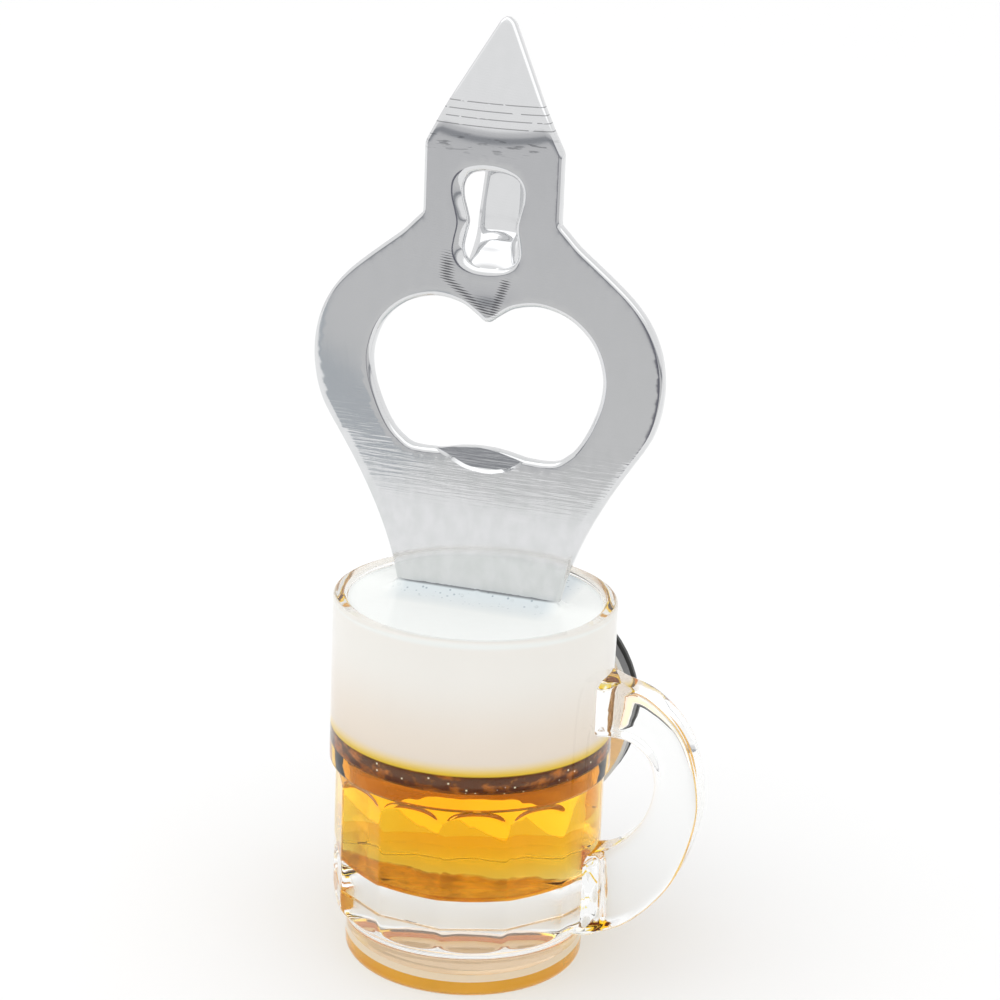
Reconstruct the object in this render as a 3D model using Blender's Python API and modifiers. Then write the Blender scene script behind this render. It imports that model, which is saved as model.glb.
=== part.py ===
"""Souvenir bottle opener: a miniature clear beer mug, cast full of amber resin with a white
head, holding a stamped steel opener blade, with a round magnet assembly glued to its back.

The design is drawn in millimetres about the mug's axis: X runs to the handle, -Y is the
front, +Y carries the magnet, and the mug stands on Z = 0. An empty shifts everything so that
the row's origin is the middle of the underside of the whole object's box.
"""
import math

import bmesh
import bpy
from mathutils import Vector

MM = 0.001
MERGE = 0.00002             # weld distance, metres
GAP = 0.3                   # clearance between neighbouring pieces

# Mug
RIM_HEIGHT = 51.5
RIM_RADIUS = 19.0
RIM_WALL = 1.9
SHOULDER_HEIGHT = 30.4      # where the straight rim cylinder starts to round in
SHOULDER_STEPS = [(0.1, 29.2), (0.35, 28.1)]    # (inset from the rim, height)
FLUTE_TOP = 27.4
BODY_RADIUS = 18.25         # to the ridges between flutes
FLUTES = 11
PLAIN_HALF_ANGLE = math.radians(25.2)   # half of the unfluted band that carries the handle
PLAIN_CORNERS = 6           # corners of the cutter's core across that band
RIM_ROUND = 0.45
HEEL_HEIGHT = 9.2           # below this the body turns in to the foot
HEEL_STEPS = [(0.2, 8.0), (0.5, 7.5), (1.05, 7.0), (1.5, 6.6), (1.8, 6.0)]    # (inset, height)
FLUTE_BOTTOM = 6.3
FOOT_RADIUS = 16.3
FOOT_TOP = 5.0
FOOT_ROUND = 1.6
RECESS_RADIUS = 12.6
RECESS_DEPTH = 2.6
CAVITY_FLOOR = 14.0
CAVITY_FLOOR_RADIUS = 15.9
CAVITY_ROUND = 1.6
ROUND_SEGMENTS = 60

# Handle
HANDLE_HALF_THICKNESS = 2.8
HANDLE_EDGE = 1.0

# Castings
BEER_TOP = 33.0
FOAM_TOP = 51.0
FOAM_DISH = 0.3             # how far the foam's middle lies below its edge

# Opener blade: heights are above the rim
BLADE_THICKNESS = 1.6
BLADE_EDGE = 0.5            # rounding of the stamped edges
BLADE_CENTRE_X = -0.2
BLADE_CENTRE_Y = 1.6
TANG_DEPTH = 13.0
SHOULDER_UP = 59.7
TIP_UP = 76.6               # measured along the flat blank, before the tip is bent
BEND_START = 60.5
BEND_LENGTH = 6.0
BEND_ANGLE = math.radians(16.5)
BEND_CUTS = 6
LIP_HALF_WIDTH = 5.6
LIP_TOP = 20.0              # the lip's hump, just above the hole's lower edge
LIP_BOTTOM = 16.4
LIP_SAG = 1.2               # how far the lens's corners lie below its top
LIP_PRESS = 0.8             # how far the cap lip is pressed back
LUG_THICKNESS = 1.3
LUG_ROOT_HALF_WIDTH = 3.5
LUG_END_HALF_WIDTH = 2.8
LUG_ROOT_UP = 42.8
LUG_END_UP = 56.3
LUG_REACH = 4.7             # how far the lug's free end stands behind the blade's middle

# Magnet
MAGNET_HEIGHT = 29.0
PLATE_RADIUS = 16.7
PLATE_FRONT_Y = 20.0
PLATE_THICKNESS = 3.0
PLATE_EDGE = 0.4
EPOXY_THICKNESS = 0.3
MAGNET_RADIUS = 16.7
MAGNET_THICKNESS = 1.2
MAGNET_CHAMFER = 0.5
MAGNET_BACK_Y = PLATE_FRONT_Y + PLATE_THICKNESS + EPOXY_THICKNESS + 2 * GAP + MAGNET_THICKNESS
GLUE_HALF_WIDTH = 11.0
GLUE_HALF_HEIGHT = 9.5
GLUE_DEPTH = 4.0            # before the mug's wall is taken out of it

# The handle's reach and the blade's half width set where the box's middle lies.
HANDLE_REACH = 32.6
BLADE_HALF_WIDTH = 24.1
ROOT_X = -(HANDLE_REACH + BLADE_CENTRE_X - BLADE_HALF_WIDTH) / 2
ROOT_Y = -(MAGNET_BACK_Y - RIM_RADIUS) / 2


def clear_scene():
    for old in list(bpy.data.objects):
        bpy.data.objects.remove(old, do_unlink=True)


def new_collection(name):
    collection = bpy.data.collections.new(name)
    bpy.context.scene.collection.children.link(collection)
    return collection


def principled(name, colour, roughness, metallic=0.0, transmission=0.0):
    """A Principled BSDF material with one colour."""
    material = bpy.data.materials.new(name)
    material.use_nodes = True
    shader = material.node_tree.nodes["Principled BSDF"]
    shader.inputs["Base Color"].default_value = (*colour, 1.0)
    shader.inputs["Roughness"].default_value = roughness
    shader.inputs["Metallic"].default_value = metallic
    shader.inputs["Transmission Weight"].default_value = transmission
    material.diffuse_color = (*colour, 1.0)
    return material


def place(piece, material):
    """Finishes a sub-part: material, smooth shading, and a place under the root empty."""
    piece.data.materials.clear()
    piece.data.materials.append(material)
    piece.data.shade_smooth()
    piece.data.set_sharp_from_angle(angle=math.radians(35))
    piece.parent = root
    parts.objects.link(piece)
    return piece


def as_cutter(piece):
    """Hides a shape that only cuts or joins another piece."""
    piece.parent = root
    piece.hide_render = True
    piece.display_type = "WIRE"
    cutters.objects.link(piece)
    return piece


def boolean(target, tool, operation):
    modifier = target.modifiers.new(operation.lower() + "_" + tool.name, "BOOLEAN")
    modifier.object = tool
    modifier.operation = operation
    modifier.solver = "EXACT"


def mesh_from(curve_object):
    """Turns a curve object into a welded mesh object, and removes the curve."""
    bpy.context.scene.collection.objects.link(curve_object)
    depsgraph = bpy.context.evaluated_depsgraph_get()
    mesh = bpy.data.meshes.new_from_object(curve_object.evaluated_get(depsgraph))
    name, matrix = curve_object.name, curve_object.matrix_world.copy()
    bpy.data.objects.remove(curve_object, do_unlink=True)
    shape = bmesh.new()
    shape.from_mesh(mesh)
    bmesh.ops.remove_doubles(shape, verts=shape.verts, dist=MERGE)
    shape.to_mesh(mesh)
    shape.free()
    mesh.name = name
    piece = bpy.data.objects.new(name, mesh)
    piece.matrix_world = matrix
    return piece


def plate(name, loops, half_thickness, edge=0.0, grow=0.0, resolution=3):
    """A flat plate with rounded edges, standing in the XZ plane and centred on Y = 0.

    Each loop is a list of (x, z, corner) points in millimetres: a corner is sharp, and the
    outline runs smoothly through the others. The first loop is the outside, the rest are
    holes.
    """
    curve = bpy.data.curves.new(name, "CURVE")
    curve.dimensions = "2D"
    curve.fill_mode = "BOTH"
    curve.resolution_u = resolution
    curve.extrude = (half_thickness - edge) * MM
    curve.bevel_depth = edge * MM
    curve.bevel_resolution = 1
    curve.offset = (grow - edge) * MM
    for loop in loops:
        spline = curve.splines.new("BEZIER")
        spline.bezier_points.add(len(loop) - 1)
        spline.use_cyclic_u = True
        for point, (x, z, corner) in zip(spline.bezier_points, loop):
            point.co = (x * MM, z * MM, 0.0)
            kind = "VECTOR" if corner else "AUTO"
            point.handle_left_type = kind
            point.handle_right_type = kind
    piece = bpy.data.objects.new(name, curve)
    piece.rotation_euler = (math.radians(90), 0.0, 0.0)
    return mesh_from(piece)


def mirrored(half):
    """Closes a half outline, given from top to bottom at x >= 0, with its mirror image."""
    left = [(-x, z, corner) for x, z, corner in reversed(half) if x > 0]
    return half + left


def turned(name, profile, segments, along_y=False):
    """A solid turned about Z from (radius, z) points in millimetres, or laid along +Y."""
    mesh = bpy.data.meshes.new(name)
    shape = bmesh.new()
    points = [shape.verts.new((radius * MM, 0.0, z * MM)) for radius, z in profile]
    for start, end in zip(points, points[1:]):
        shape.edges.new((start, end))
    shape.to_mesh(mesh)
    shape.free()
    piece = bpy.data.objects.new(name, mesh)
    screw = piece.modifiers.new("turn", "SCREW")
    screw.axis = "Z"
    screw.steps = segments
    screw.render_steps = segments
    screw.use_merge_vertices = True
    screw.merge_threshold = MERGE
    screw.use_smooth_shade = True
    if along_y:
        piece.rotation_euler = (math.radians(-90), 0.0, 0.0)
    return piece


def arc(centre, radius, start, end, count):
    """Points of a circular arc in a profile, from the start angle to the end, in degrees."""
    points = []
    for step in range(count + 1):
        angle = math.radians(start + (end - start) * step / count)
        points.append((centre[0] + radius * math.cos(angle), centre[1] + radius * math.sin(angle)))
    return points


def cavity_radius(height):
    """The mug's inner wall, which narrows from the rim to the cavity's floor."""
    top = RIM_RADIUS - RIM_WALL
    share = (height - CAVITY_FLOOR) / (RIM_HEIGHT - CAVITY_FLOOR)
    return CAVITY_FLOOR_RADIUS + (top - CAVITY_FLOOR_RADIUS) * share


def floor_corner(inset):
    """The rounded corner between the cavity's floor and its wall, moved in by an inset."""
    radius = CAVITY_ROUND - inset
    centre = (CAVITY_FLOOR_RADIUS - CAVITY_ROUND, CAVITY_FLOOR + CAVITY_ROUND)
    return arc(centre, radius, -90, 0, 4)


def make_mug():
    inner_lip = (RIM_RADIUS - RIM_WALL + RIM_ROUND, RIM_HEIGHT - RIM_ROUND)
    outer_lip = (RIM_RADIUS - RIM_ROUND, RIM_HEIGHT - RIM_ROUND)
    foot_centre = (FOOT_RADIUS - FOOT_ROUND, FOOT_ROUND)
    profile = [(0.0, CAVITY_FLOOR)]
    profile += floor_corner(0.0)
    profile += arc(inner_lip, RIM_ROUND, 180, 90, 3)
    profile += arc(outer_lip, RIM_ROUND, 90, 0, 3)
    profile += [
        (RIM_RADIUS, SHOULDER_HEIGHT),
        *((RIM_RADIUS - inset, height) for inset, height in SHOULDER_STEPS),
        (BODY_RADIUS, FLUTE_TOP),
        (BODY_RADIUS, HEEL_HEIGHT),
        *((BODY_RADIUS - inset, height) for inset, height in HEEL_STEPS),
        (FOOT_RADIUS, FOOT_TOP),
    ]
    profile += arc(foot_centre, FOOT_ROUND, 0, -90, 4)
    profile += [(RECESS_RADIUS, 0.0), (RECESS_RADIUS - 0.6, RECESS_DEPTH), (0.0, RECESS_DEPTH)]
    mug = turned("mug_body", profile, ROUND_SEGMENTS)
    boolean(mug, flute_cutter(), "DIFFERENCE")
    boolean(mug, handle_shape(), "UNION")
    return place(mug, materials["clear"])


def prism(name, radius, angles, bottom, top):
    """An upright prism on the mug's axis, with its corners at the given angles."""
    mesh = bpy.data.meshes.new(name)
    shape = bmesh.new()
    ends = []
    for height in (bottom, top):
        corners = [(radius * math.cos(angle), radius * math.sin(angle)) for angle in angles]
        ends.append([shape.verts.new((x * MM, y * MM, height * MM)) for x, y in corners])
    low, high = ends
    shape.faces.new(list(reversed(low)))
    shape.faces.new(high)
    for index in range(len(angles)):
        after = (index + 1) % len(angles)
        shape.faces.new((low[index], low[after], high[after], high[index]))
    shape.to_mesh(mesh)
    shape.free()
    return as_cutter(bpy.data.objects.new(name, mesh))


def cylinder(name, radius, bottom, top, segments):
    angles = [2 * math.pi * step / segments for step in range(segments)]
    return prism(name, radius, angles, bottom, top)


def flute_cutter():
    """A ring that planes the flat flutes on the body and spares the band behind the handle."""
    bottom, top = FLUTE_BOTTOM, FLUTE_TOP - 0.1
    pitch = (2 * math.pi - 2 * PLAIN_HALF_ANGLE) / FLUTES
    ridges = [PLAIN_HALF_ANGLE + pitch * step for step in range(FLUTES)]
    band_step = 2 * PLAIN_HALF_ANGLE / PLAIN_CORNERS
    band = [-PLAIN_HALF_ANGLE + band_step * step for step in range(PLAIN_CORNERS)]
    core = prism("flute_core", BODY_RADIUS, band + ridges, bottom - 2.0, top + 2.0)
    ring = cylinder("flute_ring", RIM_RADIUS * 1.1, bottom, top, ROUND_SEGMENTS)
    boolean(ring, core, "DIFFERENCE")
    return ring


def handle_shape():
    """The D-shaped handle. Both roots end inside the mug's wall."""
    outline = [
        (17.6, 43.2, True), (20.6, 43.0, False), (25.6, 41.4, False), (30.2, 36.6, False),
        (32.4, 29.6, False), (32.2, 23.4, False), (29.4, 15.4, False), (24.6, 9.4, False),
        (20.2, 6.6, False), (15.0, 6.0, True), (15.9, 12.0, True), (16.9, 17.6, True),
        (20.6, 19.2, False), (24.6, 23.4, False), (26.4, 28.4, False), (25.8, 32.6, False),
        (23.2, 35.0, False), (17.7, 35.4, True),
    ]
    handle = plate("handle_shape", [outline], HANDLE_HALF_THICKNESS, edge=HANDLE_EDGE)
    return as_cutter(handle)


def make_beer():
    top = BEER_TOP - GAP / 2
    profile = [(0.0, top), (cavity_radius(top) - GAP, top)]
    profile += list(reversed(floor_corner(GAP)))
    profile += [(0.0, CAVITY_FLOOR + GAP)]
    return place(turned("beer_fill", profile, ROUND_SEGMENTS), materials["amber"])


def make_foam():
    bottom = BEER_TOP + GAP / 2
    profile = [
        (0.0, FOAM_TOP - FOAM_DISH),
        (cavity_radius(FOAM_TOP) * 0.7, FOAM_TOP - FOAM_DISH * 0.8),
        (cavity_radius(FOAM_TOP) - GAP, FOAM_TOP),
        (cavity_radius(bottom) - GAP, bottom),
        (0.0, bottom),
    ]
    foam = turned("foam_head", profile, ROUND_SEGMENTS)
    half_pocket = BLADE_THICKNESS / 2 + GAP
    pocket = plate("tang_pocket", [blade_outline()], half_pocket, grow=GAP)
    pocket.location = blade_place()
    boolean(foam, as_cutter(pocket), "DIFFERENCE")
    return place(foam, materials["foam"])


def blade_place(back=0.0):
    """Where a blade outline's origin sits: at the rim's height, in the blade's mid-plane."""
    return (BLADE_CENTRE_X * MM, (BLADE_CENTRE_Y + back) * MM, RIM_HEIGHT * MM)


def blade_outline():
    """The stamped blank, from the piercer's point down to the tang."""
    half = [
        (0.0, TIP_UP, False), (1.1, TIP_UP - 1.2, False), (9.3, SHOULDER_UP, True),
        (9.3, 50.5, True), (12.0, 48.0, False), (16.9, 44.0, False), (21.0, 40.0, False),
        (23.4, 35.8, False), (BLADE_HALF_WIDTH, 30.6, False), (23.5, 26.0, False),
        (20.4, 20.0, False), (16.8, 14.0, False), (13.1, 6.0, False), (11.5, 0.0, False),
        (9.6, -8.0, False), (8.2, -TANG_DEPTH + 0.6, False), (7.0, -TANG_DEPTH, True),
    ]
    return mirrored(half)


def cap_hole():
    """The crown-cap hole: two lobes round the tooth above, and a humped lip below."""
    half = [
        (0.0, 37.0, False), (1.7, 37.8, False), (4.0, 39.2, False), (7.4, 39.7, False),
        (11.6, 38.4, False), (14.8, 35.2, False), (15.9, 31.0, False), (15.2, 26.4, False),
        (13.1, 22.0, False), (10.2, 19.3, True), (6.0, 19.15, False), (0.0, LIP_TOP, False),
    ]
    return mirrored(half)


def lug_window():
    half = [
        (0.0, 56.8, False), (2.9, 56.7, False), (4.7, 54.6, False), (3.8, 50.4, False),
        (4.4, 46.4, False), (3.0, 44.1, False), (0.0, 44.0, False),
    ]
    return mirrored(half)


def bend_tip(mesh):
    """Bends the blank's point backward on an arc, and keeps its thickness."""
    shape = bmesh.new()
    shape.from_mesh(mesh)
    start = BEND_START * MM
    length = BEND_LENGTH * MM
    for cut in range(BEND_CUTS + 1):
        geometry = shape.verts[:] + shape.edges[:] + shape.faces[:]
        level = start + length * cut / BEND_CUTS
        bmesh.ops.bisect_plane(
            shape, geom=geometry, dist=MERGE / 10, plane_co=(0.0, level, 0.0), plane_no=(0.0, 1.0, 0.0))
    radius = length / BEND_ANGLE
    for vertex in shape.verts:
        along = vertex.co.y - start
        if along <= 0.0:
            continue
        angle = min(along, length) / radius
        beyond = max(along - length, 0.0)
        # Local +Y is up the blade, and local -Z is backward.
        centre_up = radius * math.sin(angle) + beyond * math.cos(angle)
        centre_back = radius * (1.0 - math.cos(angle)) + beyond * math.sin(angle)
        off = vertex.co.z
        vertex.co.y = start + centre_up + off * math.sin(angle)
        vertex.co.z = off * math.cos(angle) - centre_back
    shape.to_mesh(mesh)
    shape.free()


def lip_shape(name, half_thickness, grow=0.0):
    """The lens-shaped piece of plate under the cap hole that is pressed back as the lip."""
    corner_up = LIP_TOP - LIP_SAG
    side = LIP_HALF_WIDTH * 0.6
    half = [
        (0.0, LIP_TOP, False), (side, LIP_TOP - LIP_SAG * 0.4, False),
        (LIP_HALF_WIDTH, corner_up, True), (side, LIP_BOTTOM + LIP_SAG * 0.6, False),
        (0.0, LIP_BOTTOM, False),
    ]
    return plate(name, [mirrored(half)], half_thickness, grow=grow)


def lug_shape():
    """The lanced lug: a tongue that leaves the window's lower edge and runs back and up."""
    middle = [
        (0.0, LUG_ROOT_UP), (0.0, 44.1), (1.2, 45.8), (2.5, 47.8), (3.5, 50.4),
        (4.2, 53.4), (LUG_REACH, LUG_END_UP),
    ]
    half = LUG_THICKNESS / 2
    front, back = [], []
    for index, (y, z) in enumerate(middle):
        before = middle[max(index - 1, 0)]
        after = middle[min(index + 1, len(middle) - 1)]
        along = Vector((after[0] - before[0], after[1] - before[1])).normalized()
        front.append((y - along.y * half, z + along.x * half, index == 0))
        back.append((y + along.y * half, z - along.x * half, index == 0))
    tip = middle[-1]
    loop = front + [(tip[0] + 0.1, tip[1] + half * 0.9, False)] + list(reversed(back))
    lug = plate("lug_shape", [loop], LUG_ROOT_HALF_WIDTH, edge=0.4, resolution=3)
    for vertex in lug.data.vertices:
        rise = (vertex.co.y / MM - LUG_ROOT_UP) / (LUG_END_UP - LUG_ROOT_UP)
        width = LUG_ROOT_HALF_WIDTH + (LUG_END_HALF_WIDTH - LUG_ROOT_HALF_WIDTH) * rise
        vertex.co.z *= width / LUG_ROOT_HALF_WIDTH
    lug.rotation_euler = (math.radians(90), 0.0, math.radians(90))
    lug.location = blade_place()
    return as_cutter(lug)


def make_blade():
    loops = [blade_outline(), cap_hole(), lug_window()]
    blade = plate("opener_blade", loops, BLADE_THICKNESS / 2, edge=BLADE_EDGE)
    bend_tip(blade.data)
    blade.location = blade_place()
    pressed = lip_shape("lip_back", BLADE_THICKNESS / 2 - 0.1)
    pressed.location = blade_place(LIP_PRESS)
    boolean(blade, as_cutter(pressed), "UNION")
    hollow = lip_shape("lip_front", LIP_PRESS, grow=-0.2)
    hollow.location = blade_place(-BLADE_THICKNESS / 2)
    boolean(blade, as_cutter(hollow), "DIFFERENCE")
    boolean(blade, lug_shape(), "UNION")
    return place(blade, materials["chrome"])


def disc(name, radius, front, back, material, front_edge=0.0, back_edge=0.0):
    """A disc of the magnet assembly, lying in the XZ plane, with chamfered edges."""
    profile = [(0.0, back), (radius - back_edge, back)]
    if back_edge:
        profile += [(radius, back - back_edge)]
    if front_edge:
        profile += [(radius, front + front_edge)]
    profile += [(radius - front_edge, front), (0.0, front)]
    piece = turned(name, profile, ROUND_SEGMENTS, along_y=True)
    piece.location.z = MAGNET_HEIGHT * MM
    return place(piece, materials[material])


def make_magnet():
    """The glued stack on the mug's back, from the wall out: glue, plate, epoxy, magnet."""
    glue_back = PLATE_FRONT_Y - GAP
    half = [(GLUE_HALF_WIDTH, GLUE_HALF_HEIGHT, True), (GLUE_HALF_WIDTH, -GLUE_HALF_HEIGHT, True)]
    glue = plate("glue_bed", [mirrored(half)], GLUE_DEPTH / 2)
    glue.location = (0.0, (glue_back - GLUE_DEPTH / 2) * MM, MAGNET_HEIGHT * MM)
    wall = cylinder("wall_relief", RIM_RADIUS + GAP, 0.0, RIM_HEIGHT, ROUND_SEGMENTS * 2)
    boolean(glue, wall, "DIFFERENCE")
    place(glue, materials["glue"])
    plate_back = PLATE_FRONT_Y + PLATE_THICKNESS
    disc("magnet_plate", PLATE_RADIUS, PLATE_FRONT_Y, plate_back, "plate", PLATE_EDGE, PLATE_EDGE)
    epoxy_front = plate_back + GAP
    epoxy_back = epoxy_front + EPOXY_THICKNESS
    disc("magnet_epoxy", MAGNET_RADIUS - MAGNET_CHAMFER, epoxy_front, epoxy_back, "epoxy")
    magnet_front = epoxy_back + GAP
    disc("ferrite_magnet", MAGNET_RADIUS, magnet_front, MAGNET_BACK_Y, "ferrite",
         back_edge=MAGNET_CHAMFER)


clear_scene()
parts = new_collection("souvenir_bottle_opener")
cutters = new_collection("cutters")
root = bpy.data.objects.new("mug_axis", None)
root.location = (ROOT_X * MM, ROOT_Y * MM, 0.0)
parts.objects.link(root)
materials = {
    "clear": principled("clear_plastic", (0.93, 0.94, 0.94), 0.04, transmission=1.0),
    "amber": principled("amber_resin", (0.93, 0.58, 0.05), 0.08, transmission=0.9),
    "foam": principled("white_resin", (0.93, 0.91, 0.87), 0.35),
    "chrome": principled("chrome", (0.72, 0.73, 0.74), 0.14, metallic=1.0),
    "glue": principled("clear_glue", (0.86, 0.83, 0.76), 0.25, transmission=0.6),
    "plate": principled("nickel_plate", (0.48, 0.46, 0.44), 0.22, metallic=1.0),
    "epoxy": principled("epoxy", (0.30, 0.27, 0.20), 0.30),
    "ferrite": principled("ferrite", (0.10, 0.10, 0.10), 0.50),
}
make_mug()
make_beer()
make_foam()
make_blade()
make_magnet()
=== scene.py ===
"""Looks of the souvenir bottle opener: a clear miniature beer mug cast full of amber resin with
a white head, a chromed steel opener blade standing in it, and a magnet glued on its back.

Shapes are drawn in millimetres about the mug's axis, as the CAD draws them, and are moved to
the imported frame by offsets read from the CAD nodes' boxes.
"""
import math

import bpy
import numpy as np
from mathutils import Matrix, Vector
from mathutils.geometry import delaunay_2d_cdt


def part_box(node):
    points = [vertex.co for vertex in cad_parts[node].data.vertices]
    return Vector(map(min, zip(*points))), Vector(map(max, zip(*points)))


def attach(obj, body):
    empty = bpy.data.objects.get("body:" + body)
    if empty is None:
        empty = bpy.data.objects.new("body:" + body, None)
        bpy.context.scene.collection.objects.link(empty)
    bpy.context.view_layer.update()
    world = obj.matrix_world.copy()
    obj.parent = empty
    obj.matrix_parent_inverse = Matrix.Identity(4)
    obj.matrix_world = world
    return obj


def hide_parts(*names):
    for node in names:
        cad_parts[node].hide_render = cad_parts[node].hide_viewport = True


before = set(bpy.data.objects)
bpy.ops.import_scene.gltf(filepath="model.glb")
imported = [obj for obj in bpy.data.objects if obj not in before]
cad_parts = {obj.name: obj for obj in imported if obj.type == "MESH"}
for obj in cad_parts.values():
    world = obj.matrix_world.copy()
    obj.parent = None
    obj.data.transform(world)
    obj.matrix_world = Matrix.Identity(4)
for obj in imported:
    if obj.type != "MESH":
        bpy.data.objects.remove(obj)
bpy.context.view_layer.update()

MM = 0.001
beer_low, beer_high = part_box("beer_fill")
blade_low, blade_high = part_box("opener_blade")
AXIS = Vector(((beer_low.x + beer_high.x) / 2, (beer_low.y + beer_high.y) / 2, 0.0))

# ------------------------------------------------------------------ sizes, millimetres
RIM_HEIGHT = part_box("mug_body")[1].z / MM
RIM_RADIUS = 19.0
RIM_WALL = 1.9
RIM_ROUND = 0.5
SHOULDER_HEIGHT = 28.6
FLUTE_TOP = 27.9
BODY_RADIUS = 18.3
FLUTES = 11
FLUTE_START = math.radians(25.2)     # half of the plain band that carries the handle
FLUTE_PITCH = (2 * math.pi - 2 * FLUTE_START) / FLUTES
CREASE_HEIGHT = 11.0
CREASE_DEPTH = 0.16
CREASE_WIDTH = 0.2
FLUTE_ARCH = 1.5                     # how much lower a flute ends at its ridges
FLUTE_RUN_OUT = 0.9
FLUTE_BOW = 0.05                     # how far a flute's middle is hollowed
FLUTE_SOFT = 0.14                    # rounding where a flute meets the round body
FLUTE_STEPS = 24                     # points across a flute, and across the plain band
HEEL_HEIGHT = 8.4
HEEL_STEPS = [(4.6, 16.3), (5.0, 16.32), (5.6, 16.38), (6.1, 16.5), (6.55, 16.75), (7.0, 17.2),
              (7.45, 17.75), (7.9, 18.08), (8.4, 18.25)]
FLUTE_BOTTOM = 6.3
FOOT_RADIUS = 16.3
FOOT_ROUND = 1.6
RECESS_RADIUS = 12.6
RECESS_DEPTH = 2.0
CAVITY_FLOOR = 14.0
CAVITY_FLOOR_RADIUS = 15.9
CAVITY_ROUND = 1.6
BEER_TOP = 32.3
FOAM_TOP = 51.0
CAST_GAP = 0.03                      # between a casting and what it touches
CREEP_HEIGHT = 1.0                   # how far the beer creeps up the wall
HEAD_DIP = 2.9                       # how far the head dips into the beer
HEAD_CREEP = 1.35                    # how far the head creeps up the blade
HEAD_CREEP_REACH = 0.9
HANDLE_HUB = (17.3, 26.6)
HANDLE_EDGE = 1.3
HANDLE_HALF_DEPTH = 2.8
HANDLE_FLARE = 0.42                  # how much deeper the bar is at the mug's wall
HANDLE_FLARE_REACH = 1.3
HANDLE_SEAT = 18.2                   # the wall that its lower end flares into


# ------------------------------------------------------------------ material helpers
class Nodes:
    """A short way to write node trees."""

    def __init__(self, tree):
        self.tree = tree
        self.out = None

    def add(self, kind, props=None, **inputs):
        node = self.tree.nodes.new("ShaderNode" + kind)
        for key, value in (props or {}).items():
            setattr(node, key, value)
        for key, value in inputs.items():
            self.put(node, key.replace("_", " "), value)
        return node

    def put(self, node, key, value):
        socket = node.inputs[int(key)] if key.isdigit() else node.inputs[key]
        if isinstance(value, bpy.types.NodeSocket):
            self.tree.links.new(value, socket)
        elif isinstance(value, bpy.types.Node):
            self.tree.links.new(value.outputs[0], socket)
        else:
            socket.default_value = value

    def math(self, operation, a, b=0.0):
        node = self.tree.nodes.new("ShaderNodeMath")
        node.operation = operation
        self.put(node, "0", a)
        self.put(node, "1", b)
        return node.outputs[0]

    def plus(self, a, b):
        return self.math("ADD", a, b)

    def minus(self, a, b):
        return self.math("SUBTRACT", a, b)

    def times(self, a, b):
        return self.math("MULTIPLY", a, b)

    def over(self, a, b):
        return self.math("DIVIDE", a, b)

    def most(self, a, b):
        return self.math("MAXIMUM", a, b)

    def least(self, a, b):
        return self.math("MINIMUM", a, b)

    def above(self, a, b):
        return self.math("GREATER_THAN", a, b)

    def below(self, a, b):
        return self.math("LESS_THAN", a, b)

    def absolute(self, a):
        return self.math("ABSOLUTE", a)

    def from_middle(self, value, pitch):
        """How far a value is from the middle of its repeat, as a share of the pitch."""
        return self.absolute(self.minus(self.math("FRACT", self.over(value, pitch)), 0.5))

    def part(self, vector, index):
        return self.add("SeparateXYZ", Vector=vector).outputs[index]

    def mix(self, factor, a, b):
        """A colour mix."""
        node = self.tree.nodes.new("ShaderNodeMix")
        node.data_type = "RGBA"
        self.put(node, "0", factor)
        self.put(node, "6", a)
        self.put(node, "7", b)
        return node.outputs[2]

    def blend(self, factor, a, b):
        """A shader mix."""
        node = self.tree.nodes.new("ShaderNodeMixShader")
        self.put(node, "0", factor)
        self.put(node, "1", a)
        self.put(node, "2", b)
        return node.outputs[0]

    def span(self, value, low, high, to_low=0.0, to_high=1.0, smooth=False):
        """Maps a value between two ends, and holds it beyond them."""
        node = self.tree.nodes.new("ShaderNodeMapRange")
        if smooth:
            node.interpolation_type = "SMOOTHSTEP"
        self.put(node, "Value", value)
        self.put(node, "From Min", low)
        self.put(node, "From Max", high)
        self.put(node, "To Min", to_low)
        self.put(node, "To Max", to_high)
        return node.outputs[0]

    def position(self):
        """Object coordinates, in metres."""
        return self.add("TexCoord").outputs["Object"]

    def scaled(self, x=1.0, y=1.0, z=1.0, turn=(0.0, 0.0, 0.0)):
        mapping = self.add("Mapping", Vector=self.position())
        mapping.inputs["Scale"].default_value = (x, y, z)
        mapping.inputs["Rotation"].default_value = turn
        return mapping.outputs[0]

    def noise(self, vector, scale=1.0, detail=2.0, roughness=0.5):
        return self.add("TexNoise", Vector=vector, Scale=scale, Detail=detail, Roughness=roughness).outputs[0]

    def dots(self, scale, channel, share, core, edge):
        """Round dots in a share of the cells; core and edge are distances from a cell's centre."""
        cells = self.add("TexVoronoi", {"feature": "F1"}, Vector=self.scaled(), Scale=scale)
        chosen = self.below(self.part(cells.outputs["Color"], channel), share)
        return self.times(self.span(cells.outputs["Distance"], core, edge, 1.0, 0.0), chosen)

    def clear(self, colour):
        return self.add("BsdfTransparent", Color=colour).outputs[0]

    def bump(self, height, strength, distance, normal=None):
        node = self.add("Bump", Height=height, Strength=strength, Distance=distance)
        if normal is not None:
            self.put(node, "Normal", normal)
        return node.outputs[0]

    def surface(self, shader):
        self.put(self.out, "Surface", shader)

    def volume(self, shader):
        self.put(self.out, "Volume", shader)


def new_material(name):
    material = bpy.data.materials.new(name)
    material.use_nodes = True
    n = Nodes(material.node_tree)
    n.tree.nodes.clear()
    n.out = n.tree.nodes.new("ShaderNodeOutputMaterial")
    return material, n


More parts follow.
